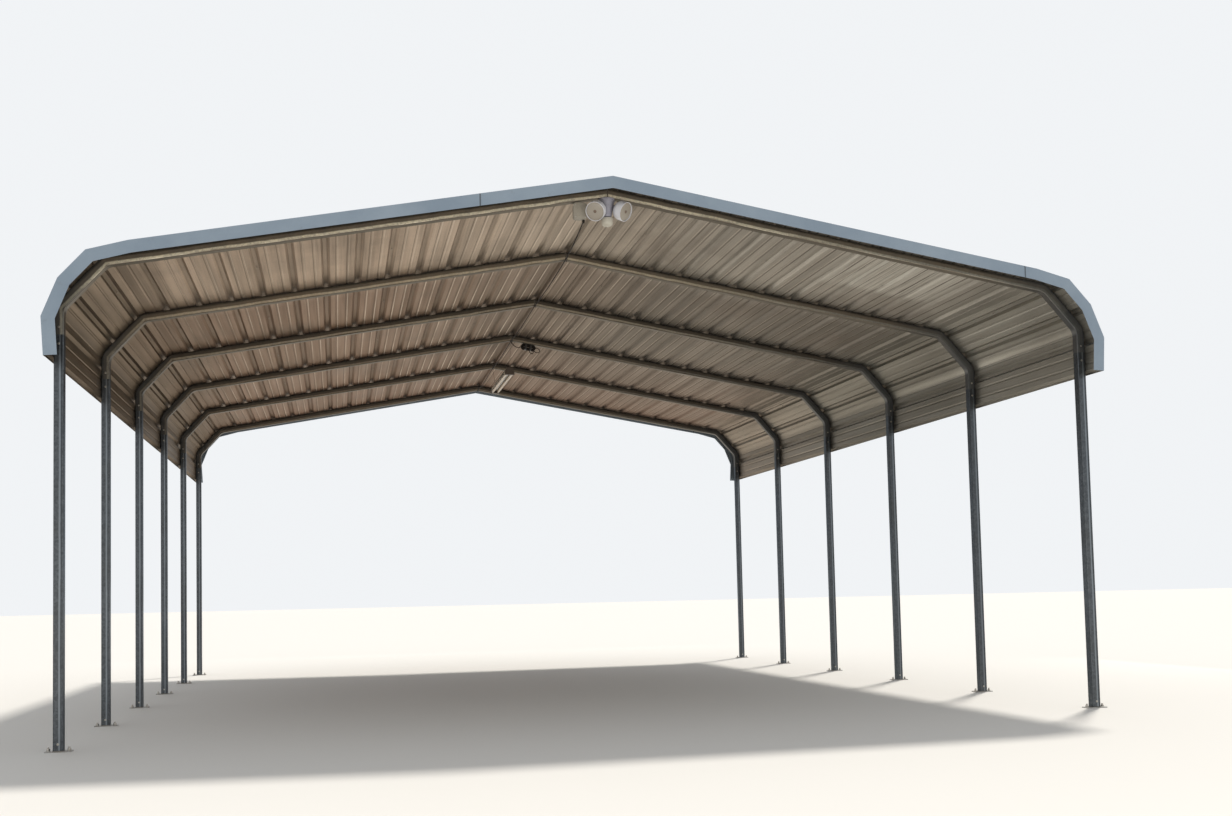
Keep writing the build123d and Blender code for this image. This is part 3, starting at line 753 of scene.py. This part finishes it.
every_second = np.arange(1, 13, 2)
held = np.concatenate([every_second, -every_second]) * rib_pitch
from_end = 0.027
ends = (ridge_trim[0].y + from_end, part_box("back_ridge_trim")[1].y - from_end)
under_head = 0.001
trim_top = rib_height + 2 * (sheet + clearance) + sheet + under_head
put("trim_screws", *copies(stitch, *on_roof(held, trim_top, ends)), screw_zinc, 25.0)

# The junction box is moulded grey plastic that has chalked in the sun. Four screws in brass
# bushes hold its lid, and the cable leaves through a gland in its right side.
box_plastic, tree, shader = material("box plastic")
specks = dirt(tree, 90.0, 0.40)
weather = use(tree, zinc, Crystal=500.0, Weather=14.0).outputs["Mottle"]
base = blend(tree, ramp(tree, weather, 0.35, 0.65), (0.33, 0.30, 0.245), (0.27, 0.245, 0.20))
base = blend(tree, specks, base, (0.16, 0.14, 0.11))
tree.links.new(base, shader.inputs["Base Color"])
tree.links.new(ramp(tree, weather, 0.3, 0.7, 0.45, 0.65), shader.inputs["Roughness"])
bump(tree, shader, specks, 0.0002, 0.5)
dress(["junction_box"], box_plastic)
low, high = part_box("junction_box")
lid_edge = 0.013
lid_x = (low.x + lid_edge, high.x - lid_edge)
lid_z = (low.z + lid_edge, high.z - lid_edge)
corners = [(x, low.y, z) for x in lid_x for z in lid_z]
lid_screw = turned([(0, 0), (0.0038, 0), (0.0036, 0.0012), (0.0022, 0.0020), (0, 0.0023)], 16)
put("lid_screws", *copies(lid_screw, corners, (0, -1, 0)), screw_zinc)
gland = together(
    turned([(0, 0), (0.0095, 0), (0.0095, 0.0060), (0.0085, 0.0068), (0, 0.0068)], 6),
    turned([(0, 0.0068), (0.0082, 0.0068), (0.0082, 0.0150), (0.0064, 0.0175), (0, 0.0175)], 18),
)
cord_rubber, tree, shader = material("cord rubber")
specks = dirt(tree, 160.0, 0.36)
base = blend(tree, specks, (0.022, 0.018, 0.015), (0.075, 0.062, 0.048))
tree.links.new(base, shader.inputs["Base Color"])
tree.links.new(ramp(tree, specks, 0.0, 1.0, 0.7, 0.9), shader.inputs["Roughness"])
shader.inputs["Specular IOR Level"].default_value = 0.12
dress(["ridge_cable", "cord_hank"], cord_rubber)
gland_in, gland_back = 0.020, 0.008
gland_place = (high.x - gland_in, (low.y + high.y) / 2 + gland_back, low.z)
put("cable_gland", *copies(gland, gland_place, (0, 0, -1)), cord_rubber, 25.0)

# The flood light is a cast housing painted grey, with a round cover plate screwed to the tube. Two
# lamp heads swing on ball knuckles, each locked by a wing bolt, and a sensor hangs below them.
base_paint, tree, shader = material("lamp base paint")
specks = dirt(tree, 60.0, 0.36)
weather = use(tree, zinc, Crystal=500.0, Weather=18.0).outputs["Mottle"]
base = blend(tree, ramp(tree, weather, 0.4, 0.6), (0.33, 0.325, 0.38), (0.26, 0.255, 0.30))
base = blend(tree, specks, base, (0.15, 0.135, 0.13))
tree.links.new(base, shader.inputs["Base Color"])
tree.links.new(ramp(tree, weather, 0.3, 0.7, 0.38, 0.55), shader.inputs["Roughness"])
dress(["flood_base"], base_paint)
head_paint, tree, shader = material("lamp head paint")
specks = dirt(tree, 45.0, 0.33)
weather = use(tree, zinc, Crystal=500.0, Weather=10.0).outputs["Mottle"]
base = blend(tree, ramp(tree, weather, 0.4, 0.65), (0.70, 0.70, 0.73), (0.58, 0.58, 0.62))
base = blend(tree, specks, base, (0.34, 0.31, 0.28))
tree.links.new(base, shader.inputs["Base Color"])
tree.links.new(ramp(tree, weather, 0.3, 0.7, 0.32, 0.48), shader.inputs["Roughness"])
dress(["flood_heads"], head_paint)
base_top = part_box("flood_base")[1].z
knuckle_spread = 0.050
knuckle_drop = 0.054
knuckle_radius = 0.019
head_depth = 0.069
front = float(bow_y[0])
lens_profile = [(0, 0.0004), (0.0585, 0.0004), (0.0588, 0.0018), (0.0560, 0.0030), (0.0440, 0.0048)]
lens_profile += [(0.0300, 0.0060), (0.0150, 0.0068), (0, 0.0070)]
pane = turned(lens_profile, 48)
lip = turned([(0, 0.0060), (0.0105, 0.0060), (0.0105, 0.0074), (0.0070, 0.0082), (0, 0.0084)], 24)
aims = []
for turn_side, swing, dip in ((-1, radians(32), radians(30)), (1, radians(44), radians(25))):
    aims.append((turn_side * sin(swing) * cos(dip), -cos(swing) * cos(dip), -sin(dip)))
aims = np.array(aims)
knuckle_z = base_top - knuckle_drop
knuckles = np.array([(x, front, knuckle_z) for x in (-knuckle_spread, knuckle_spread)])
faces_at = knuckles + aims * (knuckle_radius + clearance + head_depth)
lens_glass, tree, shader = material("lens glass")
place = add(tree, "TexCoord").outputs["Object"]
ribbing = add(tree, "TexWave", {"Vector": place, "Scale": 60.0}, bands_direction="X").outputs["Fac"]
specks = dirt(tree, 80.0, 0.36)
base = blend(tree, ribbing, (0.30, 0.265, 0.22), (0.36, 0.325, 0.275))
base = blend(tree, specks, base, (0.17, 0.14, 0.11))
tree.links.new(base, shader.inputs["Base Color"])
tree.links.new(ramp(tree, ribbing, 0.0, 1.0, 0.12, 0.2), shader.inputs["Roughness"])
bump(tree, shader, ribbing, 0.0004, 0.5)
put("flood_lenses", *copies(pane, faces_at, aims), lens_glass)
spot_steel, tree, shader = material("spot steel")
specks = dirt(tree, 200.0, 0.5)
base = blend(tree, specks, (0.16, 0.11, 0.08), (0.07, 0.045, 0.03))
tree.links.new(base, shader.inputs["Base Color"])
shader.inputs["Roughness"].default_value = 0.55
put("lens_spots", *copies(lip, faces_at, aims), spot_steel)
wing = together(
    turned([(0, 0), (0.0048, 0), (0.0048, 0.0060), (0.0036, 0.0072), (0, 0.0072)], 14),
    turned([(0, 0.0072), (0.0022, 0.0072), (0.0022, 0.0120), (0.0016, 0.0126), (0, 0.0126)], 10),
)
sides = np.array([(-0.35, 0.0, 1.0), (0.35, 0.0, 1.0)])
sides /= np.linalg.norm(sides, axis=1, keepdims=True)
sunk = 0.0008
put("knuckle_bolts", *copies(wing, knuckles + sides * (knuckle_radius - sunk), sides), screw_zinc)
plate_screw = turned([(0, 0), (0.0040, 0), (0.0036, 0.0014), (0.0020, 0.0022), (0, 0.0024)], 16)
cover_thick = 0.012
cover_hole = 0.0515
hole_shift = 0.0005
plate_at = [(x, front - hole_shift, base_top - cover_thick) for x in (-cover_hole, cover_hole)]
put("cover_screws", *copies(plate_screw, plate_at, (0, 0, -1)), screw_zinc)

# The sensor is a cup of pale plastic with a ribbed milky window round its lower front, and two
# setting wheels sunk in its underside.
sensor_plastic, tree, shader = material("sensor plastic")
specks = dirt(tree, 70.0, 0.38)
height = here(tree)[2]
low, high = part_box("flood_sensor")
base = blend(tree, ramp(tree, height, low.z, high.z), (0.50, 0.47, 0.39), (0.40, 0.38, 0.33))
base = blend(tree, specks, base, (0.26, 0.235, 0.19))
tree.links.new(base, shader.inputs["Base Color"])
tree.links.new(ramp(tree, specks, 0.0, 1.0, 0.4, 0.65), shader.inputs["Roughness"])
dress(["flood_sensor"], sensor_plastic)
sensor_radius = (high.x - low.x) / 2
turns = np.linspace(radians(200), radians(340), 41)
window = np.stack([sensor_radius * np.cos(turns), front + sensor_radius * np.sin(turns)], -1)
window_up, window_half = 0.032, 0.0095
window_sides = 12
window = np.column_stack([window, np.full(len(turns), low.z + window_up)])
flutes = 0.0011 + 0.0005 * (np.arange(len(turns)) % 2)
points, faces = carried(window, circle(1.0, window_sides), (0, 0, 1))
middle = np.repeat(window, window_sides, axis=0)
off = points - middle
off[:, :2] *= np.repeat(flutes, window_sides)[:, None]
off[:, 2] *= window_half
window_plastic, tree, shader = material("window plastic")
specks = dirt(tree, 120.0, 0.36)
base = blend(tree, specks, (0.44, 0.41, 0.34), (0.30, 0.27, 0.22))
tree.links.new(base, shader.inputs["Base Color"])
shader.inputs["Roughness"].default_value = 0.3
put("sensor_window", middle + off, faces, window_plastic)
wheel = turned([(0, 0), (0.0050, 0), (0.0050, 0.0010), (0.0040, 0.0016), (0, 0.0016)], 12)
wheels_at = [(-0.010, front, low.z), (0.010, front, low.z)]
put("sensor_wheels", *copies(wheel, wheels_at, (0, 0, -1)), window_plastic)

# The strip light is a folded housing, its paint dulled in the shade, with a brown lamp holder at
# each end. Metal caps close the two milky tubes, and two turned hooks take the hanging wires.
housing_paint, tree, shader = material("housing paint")
specks = dirt(tree, 50.0, 0.42)
low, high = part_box("strip_housing")
depth = here(tree)[1]
holder = 0.020
near = ramp(tree, depth, low.y + holder + 0.0005, low.y + holder, 0.0, 1.0)
far = ramp(tree, depth, high.y - holder - 0.0005, high.y - holder, 0.0, 1.0)
ends = calc(tree, "MAXIMUM", near, far)
base = blend(tree, ends, (0.30, 0.27, 0.22), (0.075, 0.052, 0.036))
base = blend(tree, specks, base, (0.12, 0.10, 0.08))
tree.links.new(base, shader.inputs["Base Color"])
tree.links.new(ramp(tree, specks, 0.0, 1.0, 0.4, 0.7), shader.inputs["Roughness"])
dress(["strip_housing"], housing_paint)
tube_glass, tree, shader = material("tube glass")
depth = here(tree)[1]
start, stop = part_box("strip_tubes")
aged = calc(tree, "SUBTRACT", depth, (start.y + stop.y) / 2)
aged = calc(tree, "ABSOLUTE", aged)
half_run = (stop.y - start.y) / 2
darkened = ramp(tree, aged, half_run - 0.09, half_run - 0.01)
base = blend(tree, darkened, (0.46, 0.36, 0.25), (0.24, 0.18, 0.12))
tree.links.new(base, shader.inputs["Base Color"])
specks = dirt(tree, 40.0, 0.4)
tree.links.new(ramp(tree, specks, 0.0, 1.0, 0.35, 0.7), shader.inputs["Roughness"])
shader.inputs["Specular IOR Level"].default_value = 0.3
dress(["strip_tubes"], tube_glass)
lamp_radius = (stop.z - start.z) / 2
lamp_z = (start.z + stop.z) / 2
cap = [(0, 0), (lamp_radius + 0.0006, 0), (lamp_radius + 0.0008, 0.0120)]
caps = turned(cap + [(lamp_radius + 0.0002, 0.0128), (0, 0.0128)], 24)
lamp_x = (start.x + lamp_radius, stop.x - lamp_radius)
cap_ends = [(x, y, lamp_z) for x in lamp_x for y in (start.y, stop.y)]
cap_ways = [(0, way, 0) for x in lamp_x for way in (1, -1)]
put("lamp_caps", *copies(caps, cap_ends, cap_ways), screw_zinc)
wire_steel, tree, shader = material("wire steel")
specks = dirt(tree, 90.0, 0.5)
base = blend(tree, specks, (0.13, 0.10, 0.075), (0.11, 0.055, 0.03))
tree.links.new(base, shader.inputs["Base Color"])
tree.links.new(ramp(tree, specks, 0.0, 1.0, 0.45, 0.8), shader.inputs["Roughness"])
shader.inputs["Metallic"].default_value = 0.6
dress(["strip_hangers"], wire_steel)
hanger_inset = 0.050
wire = 0.0015
hook_radius = 0.0042
hooks = []
for y in (low.y + hanger_inset, high.y - hanger_inset):
    middle = ((lamp_x[0] + lamp_x[1]) / 2, y, high.z + hook_radius)
    ring = np.column_stack([np.zeros(24), circle(hook_radius, 24)]) + middle
    hooks.append(carried(ring, circle(wire, 8), (1, 0, 0), closed=True))
put("housing_hooks", *together(*hooks), wire_steel)

# Black plastic ties hold the cable under each peak: every strap goes round the tube and the cable,
# over the top through the hollow of the ridge rib, and ends in a square head with a cut tail.
tie_plastic, tree, shader = material("tie plastic")
specks = dirt(tree, 200.0, 0.4)
base = blend(tree, specks, (0.025, 0.022, 0.02), (0.09, 0.08, 0.065))
tree.links.new(base, shader.inputs["Base Color"])
shader.inputs["Roughness"].default_value = 0.5
cord_radius = 0.004
peak_under = peak - half_tube / cos(pitch)
cord_z = peak_under - cord_radius - clearance
strap = np.array([(-0.0024, -0.0006), (0.0024, -0.0006), (0.0024, 0.0006), (-0.0024, 0.0006)])
under = np.linspace(radians(200), radians(340), 9)
round_cord = (cord_radius + 0.0010) * np.stack([np.cos(under), np.sin(under)], -1)
round_cord = round_cord + (0, cord_z - peak)
strap_off = 0.0009
strap_x = 0.012
reach_out = half_tube + strap_off
climb_up = half_tube / cos(pitch) + strap_off
loop = [(-reach_out, climb_up - 0.004), (-reach_out, -climb_up + 0.006), (-reach_out + 0.006, -climb_up)]
loop += round_cord.tolist() + [(reach_out - 0.006, -climb_up), (reach_out, -climb_up + 0.006)]
loop += [(reach_out, climb_up - 0.004), (reach_out - 0.004, climb_up), (-reach_out + 0.004, climb_up)]
loop = np.array(loop)
block = np.array([(-0.0035, -0.0022), (0.0035, -0.0022), (0.0035, 0.0022), (-0.0035, 0.0022)])
straps = []
for y in bow_y[1:]:
    line = np.column_stack([np.full(len(loop), strap_x), y + loop[:, 0], peak + loop[:, 1]])
    straps.append(carried(line, strap, (1, 0, 0), closed=True))
    front_y = y - reach_out
    head_line = [(strap_x, front_y - 0.0016, peak - 0.012), (strap_x, front_y - 0.0016, peak - 0.019)]
    straps.append(carried(head_line, block, (1, 0, 0)))
    tail = [(strap_x, front_y - 0.002, peak - 0.019), (0.013, front_y - 0.008, peak - 0.030)]
    straps.append(carried(tail, strap, (1, 0, 0)))
put("cable_ties", *together(*straps), tie_plastic)

# The spare cord is wound up by hand: its lead droops from the knot at the fourth peak, two turns
# have slipped out of the hank's right end, and tape binds the turns to each other.

def smooth(points, steps):
    """A smooth line through the points: between two of them the cubic whose slope at each point is
    half the way from the point before to the point after."""
    points = np.asarray(points, float)
    slope = np.gradient(points, axis=0)
    t = np.linspace(0, 1, steps, endpoint=False)[:, None, None]
    a, b = points[:-1], points[1:]
    run = (2 * t**3 - 3 * t**2 + 1) * a + (t**3 - 2 * t**2 + t) * slope[:-1]
    run = run + (3 * t**2 - 2 * t**3) * b + (t**3 - t**2) * slope[1:]
    return np.concatenate([run.transpose(1, 0, 2).reshape(-1, 3), points[-1:]])


low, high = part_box("cord_hank")
hank = np.array(((low.x + high.x) / 2, bow_y[3], (low.z + high.z) / 2))
ways = np.array([(cos(pitch), 0, -sin(pitch)), (0, 1, 0), (sin(pitch), 0, cos(pitch))])
turn_step = 0.0076
turn_count = 5
turn_thick = 0.0037
straight = 0.044
round_end = np.linspace(-pi / 2, pi / 2, 13)
loose = []
for radius in (0.0175, 0.0085):
    right = (straight + radius * np.cos(round_end), 0 * round_end, radius * np.sin(round_end))
    right = np.stack(right, -1)
    turn = np.concatenate([right, right[::-1] * (-1, 1, 1)])
    for n in range(turn_count):
        shift = (0.002 * (-1) ** n, (n - (turn_count - 1) / 2) * turn_step, 0)
        coil = (turn + shift) @ ways + hank
        loose.append(carried(coil, circle(turn_thick, 8), (0, 1, 0), closed=True))
lead = [(0.002, 0, 0.060), (0.012, -0.012, 0.035), (0.040, -0.018, 0.005), (0.075, -0.014, -0.005)]
lead += [(0.106, -0.006, 0.008), (0.125, -0.002, 0.015)]
slipped = [(0.230, -0.006, -0.012), (0.262, -0.016, -0.010), (0.286, -0.020, -0.028)]
slipped += [(0.280, -0.014, -0.052), (0.252, -0.012, -0.052), (0.226, -0.008, -0.034)]
hanging = [(0.186, -0.014, -0.028), (0.190, -0.020, -0.056), (0.211, -0.020, -0.068)]
hanging += [(0.224, -0.014, -0.050), (0.216, -0.010, -0.026)]
for knots in (lead, slipped, hanging):
    path = smooth(np.array(knots) + (0, bow_y[3], hank[2]), 8)
    loose.append(carried(path, circle(turn_thick, 10), (0, 1, 0)))
put("loose_cord", *together(*loose), cord_rubber)
tape_up = 0.0303
tape_out = 0.0196
tape_round = 0.004
quarter = np.linspace(0, pi / 2, 5)
arc = tape_round * np.stack([np.cos(quarter), np.sin(quarter)], -1)
arc = arc + (tape_out - tape_round, tape_up - tape_round)
flip = np.array([(1, 1), (-1, 1), (-1, -1), (1, -1)])
ring = np.concatenate([arc, arc[::-1] * flip[1], arc * flip[2], arc[::-1] * flip[3]])
tape = np.array([(-0.0095, -0.00015), (0.0095, -0.00015), (0.0095, 0.00015), (-0.0095, 0.00015)])
bands = []
for u in (-0.026, 0.024):
    line = np.column_stack([np.full(len(ring), u), ring]) @ ways + hank
    bands.append(carried(line, tape, ways[0], closed=True))
put("hank_tape", *together(*bands), tie_plastic)
